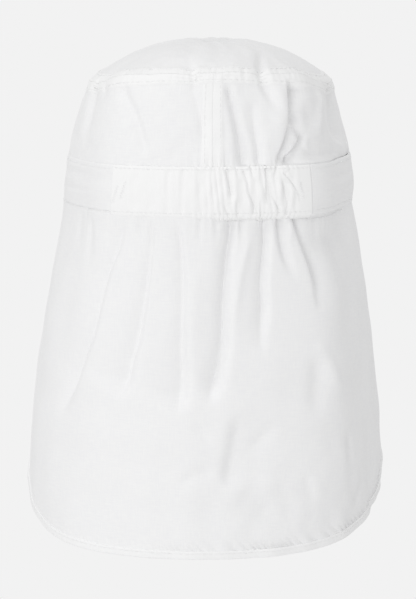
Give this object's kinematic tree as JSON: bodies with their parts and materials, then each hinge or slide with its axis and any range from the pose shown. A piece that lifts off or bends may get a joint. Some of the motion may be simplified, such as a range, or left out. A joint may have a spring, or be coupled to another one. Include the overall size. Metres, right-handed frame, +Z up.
{
  "type": "flap sun hat",
  "caption": "Child's white cotton sun hat in its worn form, with an oval-topped crown, a gathered elastic casing at the back, a front peak and a long neck flap with a rounded hem.",
  "frame": {"origin": "centre of the head opening, in the plane of the headband's lower edge, where the hat sits on a head", "axes": "+Z up through the crown, -Y towards the peak, +Y towards the centre back, -X towards the wearer's right"},
  "size_m": [0.1872, 0.2404, 0.2605],
  "materials": {
    "crown_cotton": "matt plain-weave cotton, white",
    "band_cotton": "matt plain-weave cotton, doubled and topstitched, white",
    "flap_cotton": "matt plain-weave cotton, hemmed, white"
  },
  "bodies": {
    "root": {"crown_tip": "crown_cotton", "crown_side_right": "crown_cotton", "crown_side_left": "crown_cotton", "headband": "band_cotton", "elastic_casing": "band_cotton", "peak": "band_cotton", "neck_flap": "flap_cotton"}
  },
  "joints": []
}
